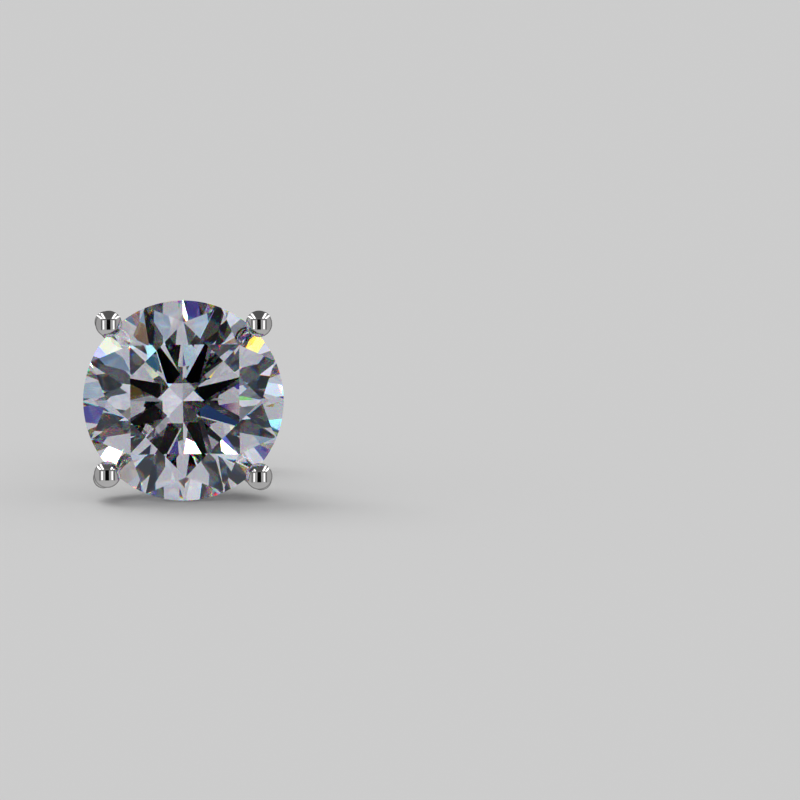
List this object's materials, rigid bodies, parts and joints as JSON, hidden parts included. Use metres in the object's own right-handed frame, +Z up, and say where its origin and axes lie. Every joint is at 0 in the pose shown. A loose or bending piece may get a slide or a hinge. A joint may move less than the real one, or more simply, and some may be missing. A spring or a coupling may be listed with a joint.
{
  "type": "stud earring",
  "caption": "Stud earring: a round brilliant-cut clear stone in a prong setting with ball tips, a straight post and a scrolled friction back, lying as it rests by itself.",
  "frame": {"origin": "middle of the underside of the whole earring's box, on the surface that it lies on", "axes": "-Y is the way the stone's table looks, tilted about 8 degrees up; +Y runs back along the post; +Z is up; +X is to the right of someone who looks at the table"},
  "size_m": [0.0066, 0.015, 0.0065],
  "materials": {
    "clear_stone": "polished facets",
    "white_gold": "bright polish",
    "white_gold_back": "polished sheet"
  },
  "bodies": {
    "root": {"stone": "clear_stone", "setting": "white_gold", "ear_back": "white_gold_back"}
  },
  "joints": []
}
